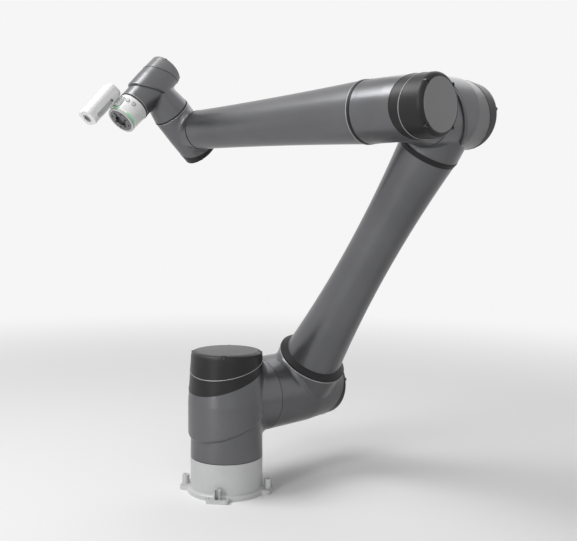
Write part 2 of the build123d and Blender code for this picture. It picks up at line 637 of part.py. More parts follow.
def forearm_harness():
    end = FOREARM_SEAM - DRIVE_BAY_LENGTH + GROMMET_LENGTH
    near_radius = FOREARM_TUBE_NECK - TUBE_WALL - SEAT_CLEARANCE
    near_grommet = rod(near_radius, FOREARM_REACH, FOREARM_REACH + GROMMET_LENGTH)
    far_grommet = rod(FOREARM_TUBE_END_RADIUS - TUBE_WALL - SEAT_CLEARANCE, end - GROMMET_LENGTH, end)
    return rod(HARNESS_RADIUS, FOREARM_REACH - SPIGOT_LENGTH, end) + near_grommet + far_grommet


# End module, with z along the tool axis
MODULE_START = HAND_DROP + SEAM_GAP
MODULE_END = HAND_LENGTH - FLANGE_COLLAR_LENGTH - LIGHT_RING_LENGTH
LIGHT_END = MODULE_END + LIGHT_RING_LENGTH
FLANGE_START = MODULE_END - TOOL_HOLE_DEPTH
MODULE_BORE = MODULE_RADIUS - MODULE_WALL


def module_shell():
    end_edge = (MODULE_END_RADIUS, MODULE_END)
    outer = turned([(0, MODULE_START), (MODULE_RADIUS, MODULE_START), end_edge, (0, MODULE_END)])
    hollow = rod(MODULE_BORE, MODULE_START - 1, FLANGE_START - MODULE_WALL)
    passage = rod(TOOL_BORE_RADIUS, MODULE_START, MODULE_END)
    flange_seat = rod(TOOL_FLANGE_RADIUS + SEAT_CLEARANCE, FLANGE_START, MODULE_END + 1)
    pockets = [button_frame(turn) * rod(BUTTON_RADIUS + RUNNING_CLEARANCE, -BUTTON_POCKET, BUTTON_POCKET)
               for turn in BUTTON_TURNS]
    return outer - hollow - passage - flange_seat - pockets


def light_ring():
    return ring(TOOL_FLANGE_RADIUS + SEAT_CLEARANCE, MODULE_END_RADIUS, MODULE_END, LIGHT_END)


def flange_collar():
    collar_end = HAND_LENGTH - TOOL_FLANGE_PROUD
    return ring(TOOL_FLANGE_RADIUS + SEAT_CLEARANCE, MODULE_END_RADIUS, LIGHT_END, collar_end)


def tool_flange():
    hole_top = HAND_LENGTH + 1
    tapped = Pos(TOOL_CIRCLE_RADIUS, 0, 0) * rod(TOOL_HOLE_RADIUS, HAND_LENGTH - TOOL_HOLE_DEPTH, hole_top)
    tapped_holes = around(TOOL_HOLE_COUNT, SCREW_TURN, [tapped])
    dowel = Pos(TOOL_CIRCLE_RADIUS, 0, 0) * rod(TOOL_DOWEL_RADIUS, HAND_LENGTH - TOOL_DOWEL_DEPTH, hole_top)
    centring = rod(TOOL_BORE_RADIUS, HAND_LENGTH - TOOL_BORE_DEPTH, hole_top)
    return rod(TOOL_FLANGE_RADIUS, FLANGE_START, HAND_LENGTH) - tapped_holes - dowel - centring


# The buttons' frames: z out of the module's side
BUTTON_TURNS = (BUTTON_TURN - BUTTON_SPREAD / 2, BUTTON_TURN + BUTTON_SPREAD / 2)
BUTTON_SURFACE = MODULE_RADIUS - (MODULE_RADIUS - MODULE_END_RADIUS) * (
    BUTTON_STATION - MODULE_START) / (MODULE_END - MODULE_START)


def button_frame(turn):
    return Rot(0, 0, turn) * Pos(BUTTON_SURFACE, 0, BUTTON_STATION) * Rot(0, 90, 0)


def button(turn):
    top = (BUTTON_RADIUS, BUTTON_PROUD)
    bottom = BUTTON_TRAVEL + TRIM_CLEARANCE - BUTTON_POCKET
    corners = [(0, bottom), (BUTTON_RADIUS, bottom), top, (0, BUTTON_PROUD)]
    return button_frame(turn) * turned(corners, [(top, BUTTON_ROUND)])


# Hand camera, in the module's frame turned about the tool axis
def camera_block(start, end, inset):
    width, depth = CAMERA_WIDTH - 2 * inset, CAMERA_DEPTH - 2 * inset
    outline = RectangleRounded(width, depth, CAMERA_ROUND - inset)
    return Pos(CAMERA_OFFSET, 0, start) * extrude(outline, end - start)


CAMERA_END = CAMERA_START + CAMERA_LENGTH
CAMERA_COVER_START = CAMERA_END - CAMERA_COVER_LENGTH


def camera_housing():
    block = camera_block(CAMERA_START, CAMERA_COVER_START, 0)
    rear = block.faces().sort_by(Axis.Z)[0].edges()
    rounded = fillet(rear, CAMERA_ROUND - 1)
    hollow = camera_block(CAMERA_START + CAMERA_ROUND, CAMERA_COVER_START + 1, CAMERA_WALL)
    return rounded - hollow


def camera_cover():
    block = camera_block(CAMERA_COVER_START, CAMERA_END, 0)
    rounded = fillet(block.faces().sort_by(Axis.Z)[-1].edges(), CAMERA_WALL)
    hole_radius = LENS_BARREL_RADIUS + SEAT_CLEARANCE
    barrel_hole = Pos(CAMERA_OFFSET, 0, 0) * rod(hole_radius, CAMERA_COVER_START - 1, CAMERA_END + 1)
    return rounded - barrel_hole


def lens_barrel():
    start = CAMERA_END - LENS_BARREL_LENGTH
    recess = CAMERA_END - LENS_RECESS
    barrel = turned([(0, start), (LENS_BARREL_RADIUS, start), (LENS_BARREL_RADIUS, CAMERA_END),
                     (LENS_RADIUS, CAMERA_END), (LENS_RADIUS, recess), (0, recess)])
    return Pos(CAMERA_OFFSET, 0, 0) * barrel


def lens_glass():
    start = CAMERA_END - LENS_RECESS
    return Pos(CAMERA_OFFSET, 0, 0) * rod(LENS_RADIUS - SEAT_CLEARANCE, start, start + LENS_GLASS_THICKNESS)


def camera_bracket():
    face = CAMERA_OFFSET - CAMERA_WIDTH / 2
    end = BRACKET_START + BRACKET_LENGTH
    band = ring(MODULE_RADIUS + SEAT_CLEARANCE, MODULE_RADIUS + BRACKET_SADDLE, BRACKET_START, end)
    wedge = Pos(0, 0, BRACKET_START) * Box(
        face, BRACKET_SADDLE_WIDTH, BRACKET_LENGTH, align=(Align.MIN, Align.CENTER, Align.MIN))
    block = Pos(0, 0, BRACKET_START) * Box(
        face, BRACKET_WIDTH, BRACKET_LENGTH, align=(Align.MIN, Align.CENTER, Align.MIN))
    saddle = (band & wedge) + block
    return saddle - rod(MODULE_RADIUS + SEAT_CLEARANCE, BRACKET_START - 1, end + 1)


CAMERA_FRAME = Plane(MODULE_FRAME.location * Rot(0, 0, CAMERA_TURN))


def build():
    os.makedirs("parts", exist_ok=True)

    save("base_casting", base_casting())
    save("base_cover", base_cover())
    save("inlet_gland", inlet_gland())
    save_drive("j1", LARGE_DRIVE, J1_SEAM, BASE_RADIUS - BASE_WALL, SHOULDER_SEAM_RADIUS, SHOULDER_SEAM_RADIUS - LARGE_WALL)

    for name, casting, frame in (("shoulder", SHOULDER, SHOULDER_FRAME), ("knuckle", KNUCKLE, KNUCKLE_FRAME),
                                 ("elbow", ELBOW, ELBOW_FRAME), ("forearm", FOREARM_ROOT, FOREARM_FRAME),
                                 ("wrist", WRIST_JOINT, WRIST_FRAME), ("hand", HAND_JOINT, HAND_FRAME)):
        housing, cap, collar = casting.pieces()
        save(f"{name}_housing", housing, frame)
        save(f"{name}_cap", cap, frame)
        save(f"{name}_cap_screws", Compound(children=casting.screws()), frame)
        if casting.cap_plane != casting.edge_plane:
            save(f"{name}_collar", collar, frame)

    save_drive("j2", LARGE_DRIVE, J2_SEAM, KNUCKLE_RADIUS - LARGE_WALL, KNUCKLE_RADIUS, KNUCKLE_RADIUS - LARGE_WALL)
    save_drive("j3", MIDDLE_DRIVE, J3_SEAM, ELBOW_SEAM_RADIUS - MIDDLE_WALL, ELBOW_SEAM_RADIUS, ELBOW_SEAM_RADIUS - MIDDLE_WALL)
    save_drive("j4", SMALL_DRIVE, J4_SEAM, FOREARM_TUBE_END_RADIUS - SMALL_WALL, FOREARM_TUBE_END_RADIUS,
               FOREARM_TUBE_END_RADIUS - TUBE_WALL)
    save_drive("j5", SMALL_DRIVE, J5_SEAM, WRIST_SEAM_RADIUS - SMALL_WALL, WRIST_SEAM_RADIUS, WRIST_SEAM_RADIUS - SMALL_WALL)
    save_drive("j6", SMALL_DRIVE, J6_SEAM, MODULE_BORE, HAND_SEAM_RADIUS, HAND_SEAM_RADIUS - SMALL_WALL)

    save("upper_arm_tube", upper_tube(), UPPER_TUBE_FRAME)
    save("lower_clamp_ring", lower_ring(), UPPER_TUBE_FRAME)
    save("upper_clamp_ring", upper_ring(), UPPER_TUBE_FRAME)
    save("upper_arm_harness", upper_harness(), UPPER_TUBE_FRAME)
    save("forearm_tube", forearm_tube(), FOREARM_TUBE_FRAME)
    save("forearm_clamp_ring", forearm_ring(), FOREARM_TUBE_FRAME)
    save("forearm_harness", forearm_harness(), FOREARM_TUBE_FRAME)

    save("module_shell", module_shell(), MODULE_FRAME)
    save("light_ring", light_ring(), MODULE_FRAME)
    save("flange_collar", flange_collar(), MODULE_FRAME)
    save("tool_flange", tool_flange(), MODULE_FRAME)
    save("guide_button", button(BUTTON_TURNS[0]), MODULE_FRAME)
    save("teach_button", button(BUTTON_TURNS[1]), MODULE_FRAME)

    save("camera_housing", camera_housing(), CAMERA_FRAME)
    save("camera_cover", camera_cover(), CAMERA_FRAME)
    save("lens_barrel", lens_barrel(), CAMERA_FRAME)
    save("lens_glass", lens_glass(), CAMERA_FRAME)
    save("camera_bracket", camera_bracket(), CAMERA_FRAME)


build()
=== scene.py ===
import json
import math

import bpy
from mathutils import Matrix, Vector


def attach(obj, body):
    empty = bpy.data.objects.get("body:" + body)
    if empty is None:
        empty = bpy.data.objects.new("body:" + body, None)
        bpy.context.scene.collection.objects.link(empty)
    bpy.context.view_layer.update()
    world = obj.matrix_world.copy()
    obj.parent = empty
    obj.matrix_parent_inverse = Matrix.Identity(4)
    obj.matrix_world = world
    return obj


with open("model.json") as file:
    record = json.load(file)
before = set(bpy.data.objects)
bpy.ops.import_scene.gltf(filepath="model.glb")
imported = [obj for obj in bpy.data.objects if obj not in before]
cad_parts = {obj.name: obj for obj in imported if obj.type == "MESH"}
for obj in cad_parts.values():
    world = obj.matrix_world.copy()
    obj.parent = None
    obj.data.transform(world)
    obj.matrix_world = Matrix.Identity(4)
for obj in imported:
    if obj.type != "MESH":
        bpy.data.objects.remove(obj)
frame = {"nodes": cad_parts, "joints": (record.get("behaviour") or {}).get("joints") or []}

nodes = frame["nodes"]
joints = {joint["name"]: joint for joint in frame["joints"]}
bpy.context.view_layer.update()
scene = bpy.context.scene
print("frame loaded:", len(nodes), "nodes")


# Camera, fitted to the photograph
cameraFit = {
    "position": (-1.4041, -1.6580, 0.7454), "lens": 55.1, "sensor": 36.0, "far": 60.0,
    "right": (0.7167, -0.6973, 0.0083), "up": (0.0555, 0.0690, 0.9961),
}


def addCamera(fit):
    right = Vector(fit["right"]).normalized()
    back = right.cross(Vector(fit["up"])).normalized()
    up = back.cross(right)
    turn = Matrix((right, up, back)).transposed().to_4x4()
    lens = bpy.data.cameras.new("photoCamera")
    lens.lens, lens.sensor_width, lens.sensor_fit = fit["lens"], fit["sensor"], "HORIZONTAL"
    lens.clip_end = fit["far"]
    camera = bpy.data.objects.new("photoCamera", lens)
    camera.matrix_world = Matrix.Translation(fit["position"]) @ turn
    scene.collection.objects.link(camera)
    scene.camera = camera


addCamera(cameraFit)
print("camera placed")


# Node maths: a socket that understands + and *, either way round
class Wire:
    def __init__(self, owner, socket):
        self.owner, self.socket = owner, socket

    def maths(self, operation, left, right):
        return self.owner.node("ShaderNodeMath", {"operation": operation}, {0: left, 1: right})

    def __add__(self, other): return self.maths("ADD", self, other)
    def __radd__(self, other): return self.maths("ADD", other, self)
    def __mul__(self, other): return self.maths("MULTIPLY", self, other)
    def __rmul__(self, other): return self.maths("MULTIPLY", other, self)


# A node tree of any kind, filled one node at a time
class NodeWork:
    def __init__(self, tree):
        self.tree = tree

    def node(self, kind, settings, inputs, output=0):
        made = self.tree.nodes.new(kind)
        for key, value in settings.items():
            setattr(made, key, value)
        for key, value in inputs.items():
            if isinstance(value, Wire):
                self.tree.links.new(value.socket, made.inputs[key])
            else:
                made.inputs[key].default_value = value
        return Wire(self, made.outputs[output])


# One material: its node tree, a shader, and Object coordinates
class Finish(NodeWork):
    def __init__(self, name):
        self.material = bpy.data.materials.new(name)
        self.material.use_nodes = True
        super().__init__(self.material.node_tree)
        self.shader = self.tree.nodes["Principled BSDF"]
        self.place = self.node("ShaderNodeTexCoord", {}, {}, "Object")

    def noise(self, scale, detail=2.0):
        return self.node("ShaderNodeTexNoise", {}, {"Vector": self.place, "Scale": scale, "Detail": detail})

    # A Mix node's colours go in at its sockets 6 and 7 and come out at 2
    def blend(self, factor, first, second):
        return self.node("ShaderNodeMix", {"data_type": "RGBA"}, {
            0: factor, 6: (*first, 1), 7: (*second, 1)}, 2)

    def range(self, value, low, high, fromLow=0.3, fromHigh=0.7):
        return self.node("ShaderNodeMapRange", {}, {
            "Value": value, "From Min": fromLow, "From Max": fromHigh, "To Min": low, "To Max": high})

    def feed(self, socket, value):
        if isinstance(value, Wire):
            self.tree.links.new(value.socket, self.shader.inputs[socket])
        else:
            self.shader.inputs[socket].default_value = (*value, 1) if isinstance(value, tuple) else value

    def bump(self, height, distance):
        self.feed("Normal", self.node("ShaderNodeBump", {}, {
            "Height": height, "Distance": distance, "Strength": 1.0}, "Normal"))


# A sprayed, moulded, cast or turned surface, all from the same few numbers
finishes = {
    "armPaint": {"dark": (0.118, 0.119, 0.124), "light": (0.162, 0.163, 0.169), "metal": 0.78,
                 "rough": (0.28, 0.35), "grain": 1400.0, "cloud": 5.0, "peel": 0.00005},
    "capPlastic": {"dark": (0.010, 0.010, 0.011), "light": (0.018, 0.018, 0.019), "metal": 0.0,
                   "rough": (0.32, 0.44), "grain": 2200.0, "cloud": 9.0, "peel": 0.00006,
                   "specular": 0.28},
    # painted light: the hand cap is the same dark plastic as the other caps, given a lighter grey copy where
    # strong light falls on it
    "handCapPaint": {"dark": (0.135, 0.136, 0.140), "light": (0.180, 0.181, 0.186), "metal": 0.55,
                     "rough": (0.30, 0.38), "grain": 1600.0, "cloud": 9.0, "peel": 0.00005, "coat": 0.2},
    "discPaint": {"dark": (0.170, 0.171, 0.175), "light": (0.215, 0.216, 0.220), "metal": 0.40,
                  "rough": (0.40, 0.50), "grain": 1600.0, "cloud": 7.0, "peel": 0.00006},
    # painted shade: a darker copy of the disc paint for the shoulder cap's upward-facing disc
    "topDiscPaint": {"dark": (0.050, 0.050, 0.052), "light": (0.072, 0.072, 0.075), "metal": 0.30,
                     "rough": (0.36, 0.46), "grain": 1600.0, "cloud": 7.0, "peel": 0.00008},
    "clampPlastic": {"dark": (0.008, 0.008, 0.009), "light": (0.014, 0.014, 0.015), "metal": 0.0,
                     "rough": (0.40, 0.52), "grain": 2400.0, "cloud": 12.0, "peel": 0.00007,
                     "specular": 0.28},
    "baseCasting": {"dark": (0.46, 0.462, 0.465), "light": (0.58, 0.582, 0.585), "metal": 0.35,
                    "rough": (0.42, 0.56), "grain": 900.0, "cloud": 8.0, "peel": 0.00012},
    "whiteShell": {"dark": (0.74, 0.745, 0.74), "light": (0.80, 0.805, 0.80), "metal": 0.0,
                   "rough": (0.28, 0.36), "grain": 1800.0, "cloud": 6.0, "peel": 0.00003, "coat": 0.25},
    "collarGrey": {"dark": (0.50, 0.505, 0.50), "light": (0.58, 0.585, 0.58), "metal": 0.0,
                   "rough": (0.32, 0.42), "grain": 1800.0, "cloud": 8.0, "peel": 0.00004, "coat": 0.1},
    "darkPlastic": {"dark": (0.012, 0.012, 0.013), "light": (0.020, 0.020, 0.022), "metal": 0.0,
                    "rough": (0.38, 0.50), "grain": 2400.0, "cloud": 12.0, "peel": 0.00006,
                    "specular": 0.28},
    "rubber": {"dark": (0.010, 0.010, 0.011), "light": (0.018, 0.018, 0.019), "metal": 0.0,
               "rough": (0.62, 0.78), "grain": 1500.0, "cloud": 20.0, "peel": 0.00015},
    "blackScrew": {"dark": (0.05, 0.05, 0.052), "light": (0.09, 0.09, 0.092), "metal": 0.9,
                   "rough": (0.30, 0.42), "grain": 3000.0, "cloud": 40.0, "peel": 0.00003},
    "darkSteel": {"dark": (0.16, 0.16, 0.165), "light": (0.24, 0.24, 0.245), "metal": 1.0,
                  "rough": (0.26, 0.36), "grain": 2600.0, "cloud": 30.0, "peel": 0.00004},
    "turnedMetal": {"dark": (0.50, 0.505, 0.51), "light": (0.66, 0.665, 0.67), "metal": 1.0,
                    "rough": (0.22, 0.34), "grain": 2600.0, "cloud": 30.0, "peel": 0.00004},
    # light grey for real trim (lens barrel, rail, button rings), and also painted highlights on the rims and
    # on the shoulder and forearm cap beads
    "beadGrey": {"dark": (0.30, 0.30, 0.305), "light": (0.40, 0.40, 0.405), "metal": 0.4,
                 "rough": (0.30, 0.40), "grain": 1500.0, "cloud": 20.0, "peel": 0.00002},
}


# How the cloudy and the fine noise share a finish's colour and its bumps
weave = {"cloudDetail": 3.0, "grainDetail": 1.0, "cloudColour": 0.6, "grainColour": 0.4,
         "peelScale": 0.22, "peelDetail": 2.0, "peelHeight": 0.65, "grainHeight": 0.35}


def surface(name, look):
    finish = Finish(name)
    cloud = finish.noise(look["cloud"], weave["cloudDetail"])
    grain = finish.noise(look["grain"], weave["grainDetail"])
    spots = finish.range(cloud * weave["cloudColour"] + grain * weave["grainColour"], 0, 1)
    finish.feed("Base Color", finish.blend(spots, look["dark"], look["light"]))
    finish.feed("Roughness", finish.range(cloud, *look["rough"]))
    finish.feed("Metallic", look["metal"])
    finish.feed("Coat Weight", look.get("coat", 0.0))
    finish.feed("Specular IOR Level", look.get("specular", 0.5))
    peel = finish.noise(look["grain"] * weave["peelScale"], weave["peelDetail"])
    finish.bump(grain * weave["grainHeight"] + peel * weave["peelHeight"], look["peel"])
    return finish.material


materials = {name: surface(name, look) for name, look in finishes.items()}


# Lens glass, faintly mottled under a clear coat
glass = {"scale": 60.0, "dark": (0.012, 0.016, 0.03), "light": (0.03, 0.03, 0.05),
         "rough": 0.05, "coat": 1.0}


def lensGlass(look):
    finish = Finish("lensGlass")
    finish.feed("Base Color", finish.blend(finish.noise(look["scale"]), look["dark"], look["light"]))
    finish.feed("Roughness", look["rough"])
    finish.feed("Coat Weight", look["coat"])
    return finish.material


# The pale light guide with its green patches
lightGuide = {"white": (0.72, 0.75, 0.72), "green": (0.25, 0.68, 0.36), "glow": 0.18, "patches": 46.0,
              "detail": 1.0, "edge": (0.42, 0.56), "rough": 0.35}


def lightGuideFinish(look):
    finish = Finish("lightGuide")
    patch = finish.range(finish.noise(look["patches"], look["detail"]), 0, 1, *look["edge"])
    colour = finish.blend(patch, look["white"], look["green"])
    finish.feed("Base Color", colour)
    finish.feed("Emission Color", colour)
    finish.feed("Emission Strength", look["glow"])
    finish.feed("Roughness", look["rough"])
    return finish.material


materials["lensGlass"] = lensGlass(glass)
materials["lightGuide"] = lightGuideFinish(lightGuide)

nodeFinishes = {
    "armPaint": ("housing", "upper_arm_tube", "forearm_tube"),
    "capPlastic": ("_cap", "_collar"),
    "handCapPaint": ("hand_cap",),
    "clampPlastic": ("clamp_ring",),
    "baseCasting": ("base_casting", "base_cover"),
    "whiteShell": ("module_shell", "camera_housing", "camera_cover", "camera_bracket"),
    "collarGrey": ("flange_collar", "button"),
    "darkPlastic": ("inlet_gland",),
    "beadGrey": ("lens_barrel",),
    "rubber": ("harness",),
    "blackScrew": ("screws",),
    "darkSteel": ("tool_flange",),
    "turnedMetal": ("output_ring", "gear_unit", "motor"),
    "lensGlass": ("lens_glass",),
    "lightGuide": ("light_ring",),
}


def finishFor(node):
    fitting = [(max(map(len, keys)), name) for name, words in nodeFinishes.items()
               if (keys := [word for word in words if node.endswith(word)])]
    return max(fitting)[1]


def dress(piece, finish):
    piece.data.materials.clear()
    piece.data.materials.append(materials[finish])


for name, node in nodes.items():
    dress(node, finishFor(name))
print("materials made:", len(materials))


# Places: each casting's crossing point, with z towards its cap and x along its branch
def jointPoint(name):
    return Vector(joints[name]["pos_m"])


def jointAxis(name):
    return Vector(joints[name]["axis"])


elbowOffset = 0.1705
across = jointAxis("shoulder_swing")
forearmAxis = jointAxis("forearm_roll")
wristAxis = jointAxis("wrist_bend")
handAxis = jointAxis("flange_turn")
upperAxis = (jointPoint("elbow_bend") - jointPoint("shoulder_swing")).normalized()
vertical = Vector((0, 0, 1))
shoulderPoint = vertical * jointPoint("shoulder_swing").z
forearmPoint = jointPoint("elbow_bend") - across * elbowOffset


def place(point, towardsCap, alongBranch):
    side = towardsCap.cross(alongBranch).normalized()
    return Matrix.Translation(point) @ Matrix((alongBranch, side, towardsCap)).transposed().to_4x4()


largeCap = {"capRound": 0.010, "head": 0.0048}
smallCap = {"capRound": 0.005, "head": 0.0032}
castings = {
    "shoulder": {"place": place(shoulderPoint, vertical, across), "body": "shoulder", "disc": "topDiscPaint",
                 "radius": 0.096, "capRadius": 0.088, "rise": 0.125, **largeCap,
                 "capLine": (0.092, 0.27, 0.09), "edgeLine": (0.060, 0.37, 0.0)},
    "knuckle": {"place": place(jointPoint("shoulder_swing"), across, upperAxis), "body": "upper_arm",
                "radius": 0.094, "capRadius": 0.087, "rise": 0.105, **largeCap,
                "capLine": (0.078, 0.24, 0.0)},
    "elbow": {"place": place(jointPoint("elbow_bend"), across, -upperAxis), "body": "upper_arm",
              "radius": 0.082, "capRadius": 0.075, "rise": 0.084, **largeCap,
              "capLine": (0.057, 0.24, 0.0)},
    "forearm": {"place": place(forearmPoint, -forearmAxis, across), "body": "forearm",
                "radius": 0.0695, "capRadius": 0.067, "rise": 0.103, **largeCap,
                "capLine": (0.066, 0.27, 0.09), "edgeLine": (0.048, 0.37, 0.0)},
    "wrist": {"place": place(jointPoint("wrist_bend"), -wristAxis, -forearmAxis), "body": "wrist",
              "radius": 0.0505, "capRadius": 0.048, "rise": 0.076, **smallCap,
              "capLine": (0.052, 0.24, 0.0)},
    "hand": {"place": place(jointPoint("flange_turn"), -handAxis, -wristAxis), "body": "hand",
             "radius": 0.0465, "capRadius": 0.044, "rise": 0.069, **smallCap,
             "capLine": (0.042, 0.40, 0.0)},
}


def addMesh(name, points, faces, finish, body, spot=Matrix(), smooth=True):
    mesh = bpy.data.meshes.new(name)
    mesh.from_pydata([spot @ Vector(point) for point in points], [], faces)
    mesh.update()
    if smooth:
        mesh.shade_smooth()
    piece = bpy.data.objects.new(name, mesh)
    scene.collection.objects.link(piece)
    dress(piece, finish)
    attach(piece, body)
    return piece


# Equal turns in one full circle, a point at one of them, and the faces of a band swept all the way round
def fullCircle(count):
    return [math.tau * index / count for index in range(count)]


def around(reach, turn, height):
    return reach * math.cos(turn), reach * math.sin(turn), height


def sweptFaces(steps, count):
    return [(step * count + index, (step + 1) % steps * count + index,
             (step + 1) % steps * count + (index + 1) % count, step * count + (index + 1) % count)
            for step in range(steps) for index in range(count)]


# Painted discs on the caps' ends, slightly domed, with a bite at each screw's pocket
disc = {"edge": 0.0004, "thick": 0.0006, "dome": 0.0012, "bite": 0.0015, "steps": 384, "screwTurn": 45.0,
        "quarter": 90.0, "edgeDrop": 0.0003, "sink": 0.0002, "rings": (0.25, 0.5, 0.72, 0.88, 0.97, 1.0)}


def discReach(size, angle):
    reach = size["capRadius"] - size["capRound"] - disc["edge"]
    centre, bite = size["capRadius"] - size["head"], size["head"] + disc["bite"]
    half = disc["quarter"] / 2
    off = math.radians((math.degrees(angle) - disc["screwTurn"] + half) % disc["quarter"] - half)
    rest = bite ** 2 - (centre * math.sin(off)) ** 2
    return min(reach, centre * math.cos(off) - math.sqrt(rest)) if rest > 0 else reach


def capDisc(name, size):
    turns = fullCircle(disc["steps"])
    edge = [(discReach(size, turn), turn) for turn in turns]
    points = [(0, 0, size["rise"] + disc["thick"] + disc["dome"])]
    for share in disc["rings"]:
        drop = disc["edgeDrop"] if share == disc["rings"][-1] else 0
        lift = disc["thick"] + disc["dome"] * (1 - share ** 2) - drop
        points += [around(reach * share, turn, size["rise"] + lift) for reach, turn in edge]
    points += [around(reach, turn, size["rise"] - disc["sink"]) for reach, turn in edge]
    steps, ringCount = disc["steps"], len(disc["rings"])
    faces = [(0, 1 + index, 1 + (index + 1) % steps) for index in range(steps)]
    for ring in range(ringCount):
        first, second = 1 + ring * steps, 1 + (ring + 1) * steps
        faces += [(first + index, second + index, second + (index + 1) % steps, first + (index + 1) % steps)
                  for index in range(steps)]
    faces.append(tuple(1 + ringCount * steps + index for index in reversed(range(steps))))
    addMesh(f"{name}CapDisc", points, faces, size.get("disc", "discPaint"), size["body"], size["place"])


# Thin beads that follow the slanted joint lines under the caps and collars: the dark ones are joint lines,
# and the light-grey cap beads on the shoulder and forearm are painted highlights along the cap's edge
bead = {"steps": 160, "sides": 8, "radius": 0.0009, "proud": 0.0002, "sunkShare": 0.5, "lift": 0.0002,
        "tries": 6}


def surfaceRadius(size, height):
    share = max(0.0, min(1.0, height / size["rise"]))
    return size["radius"] + (size["capRadius"] - size["radius"]) * share


def lineHeight(size, line, angle):
    height = line[0]
    for _ in range(bead["tries"]):
        reach = surfaceRadius(size, height)
        height = line[0] + line[1] * reach * math.cos(angle) + line[2] * reach * math.sin(angle)
    return height


def lineBead(name, size, line, finish):
    points = []
    for turn in fullCircle(bead["steps"]):
        height = lineHeight(size, line, turn)
        reach = surfaceRadius(size, height) + bead["proud"] - bead["radius"] * bead["sunkShare"]
        for lap in fullCircle(bead["sides"]):
            rise = height + bead["lift"] + bead["radius"] * math.sin(lap)
            points.append(around(reach + bead["radius"] * math.cos(lap), turn, rise))
    addMesh(name, points, sweptFaces(bead["steps"], bead["sides"]), finish, size["body"], size["place"])


# The shoulder and forearm cap beads are light grey, a painted highlight; the others are dark joint lines
for name, size in castings.items():
    capDisc(name, size)
    lineBead(f"{name}CapSeamAndHighlightBead", size, size["capLine"], "beadGrey" if "edgeLine" in size else "darkPlastic")
    if "edgeLine" in size:
        lineBead(f"{name}CollarBead", size, size["edgeLine"], "darkPlastic")
print("cap discs and beads made")


def lathe(name, profile, spot, finish, body, steps=128):
    points = [around(radius, turn, height) for turn in fullCircle(steps) for radius, height in profile]
    addMesh(name, points, sweptFaces(steps, len(profile)), finish, body, spot)


def turnTo(point, axis):
    return Matrix.Translation(point) @ axis.to_track_quat("Z", "Y").to_matrix().to_4x4()


# Painted highlights: light-grey rims where the edge of a casting catches the light beside a joint line;
# forearmStep is a plain paint step
rims = {
    "knuckleRim": {"at": jointPoint("shoulder_swing") + upperAxis * 0.0970, "axis": upperAxis,
                   "radius": 0.0903, "thick": 0.0014, "body": "upper_arm", "finish": "beadGrey"},
    "forearmRim": {"at": forearmPoint + forearmAxis * 0.0925, "axis": forearmAxis,
                   "radius": 0.0696, "thick": 0.0014, "body": "forearm", "finish": "beadGrey"},
    "forearmStep": {"at": forearmPoint + forearmAxis * 0.0700, "axis": forearmAxis,
                    "radius": 0.0693, "thick": 0.0006, "body": "forearm", "finish": "armPaint"},
    "wristRim": {"at": jointPoint("wrist_bend") + wristAxis * 0.0650, "axis": wristAxis,
                 "radius": 0.0503, "thick": 0.0010, "body": "wrist", "finish": "beadGrey"},
    "handRim": {"at": jointPoint("flange_turn") + handAxis * 0.0757, "axis": handAxis,
                "radius": 0.0408, "thick": 0.0009, "body": "hand", "finish": "beadGrey"},
}


def rimProfile(rim, sides=10):
    return [(rim["radius"] + rim["thick"] * math.cos(lap), -rim["thick"] * math.sin(lap))
            for lap in fullCircle(sides)]


for name, rim in rims.items():
    lathe(name, rimProfile(rim), turnTo(rim["at"], rim["axis"]), rim["finish"], rim["body"])


# Rubber seals in the turning joints' gaps: those with a width have a lip, the others stay flat
seals = {
    "shoulder": {"at": vertical * 0.090, "axis": vertical, "radius": 0.090, "body": "base"},
    "upperArm": {"at": jointPoint("shoulder_swing") - across * 0.1425, "axis": across, "radius": 0.094,
                 "body": "shoulder"},
    "elbow": {"at": jointPoint("elbow_bend") - across * 0.0825, "axis": across, "radius": 0.076,
              "wide": 0.003, "body": "forearm"},
    "forearm": {"at": forearmPoint + forearmAxis * 0.670, "axis": -forearmAxis, "radius": 0.051,
                "wide": 0.004, "body": "wrist"},
    "wrist": {"at": jointPoint("wrist_bend") + wristAxis * 0.0665, "axis": -wristAxis, "radius": 0.050,
              "wide": 0.004, "body": "hand"},
    "hand": {"at": jointPoint("flange_turn") + handAxis * 0.077, "axis": -handAxis, "radius": 0.041,
             "wide": 0.004, "body": "end_module"},
}
sealForm = {"top": -0.0003, "foot": -0.0014, "deep": 0.0032, "proud": 0.0005, "sunk": 0.0004,
            "step": 0.0003, "bevel": 0.0005}


def flatSeal(size):
    inner, outer = size["radius"] - sealForm["deep"], size["radius"] - sealForm["sunk"]
    foot, top = sealForm["foot"], sealForm["top"]
    return [(inner, foot), (outer, foot), (outer, top), (inner, top)]


def lippedSeal(size):
    reach, foot, top = size["radius"], sealForm["foot"], sealForm["top"]
    inner, lip, bottom = reach - sealForm["deep"], reach + sealForm["proud"], top - size["wide"]
    return [(inner, foot), (reach - sealForm["sunk"], foot), (reach - sealForm["step"], bottom),
            (lip, bottom + sealForm["step"]), (lip, top - sealForm["sunk"]), (lip - sealForm["bevel"], top),
            (inner, top)]


for name, seal in seals.items():
    profile = lippedSeal(seal) if "wide" in seal else flatSeal(seal)
    lathe(f"{name}Seal", profile, turnTo(seal["at"], seal["axis"]), "rubber", seal["body"])
print("seals and rims made")


# Rail on the hand camera's side, with the small screw at its upper end
rail = {"out": 0.056, "sink": 0.0035, "proud": 0.0008, "wide": 0.0090, "start": 0.124, "end": 0.186,
        "round": 0.0032, "steps": 8}
railScrew = {"at": 0.1285, "radius": 0.0026, "side": 0.0008, "top": 0.0011, "topShare": 0.85, "tip": 0.0001,
             "steps": 32}


def cameraPlace():
    housing = nodes["camera_housing"]
    corners = [housing.matrix_world @ vertex.co for vertex in housing.data.vertices]
    start = jointPoint("flange_turn")
    out = sum(corners, Vector()) / len(corners) - start
    outward = (out - handAxis * out.dot(handAxis)).normalized()
    side = outward.cross(handAxis).normalized()
    return start, outward, side, max(side.dot(corner - start) for corner in corners)


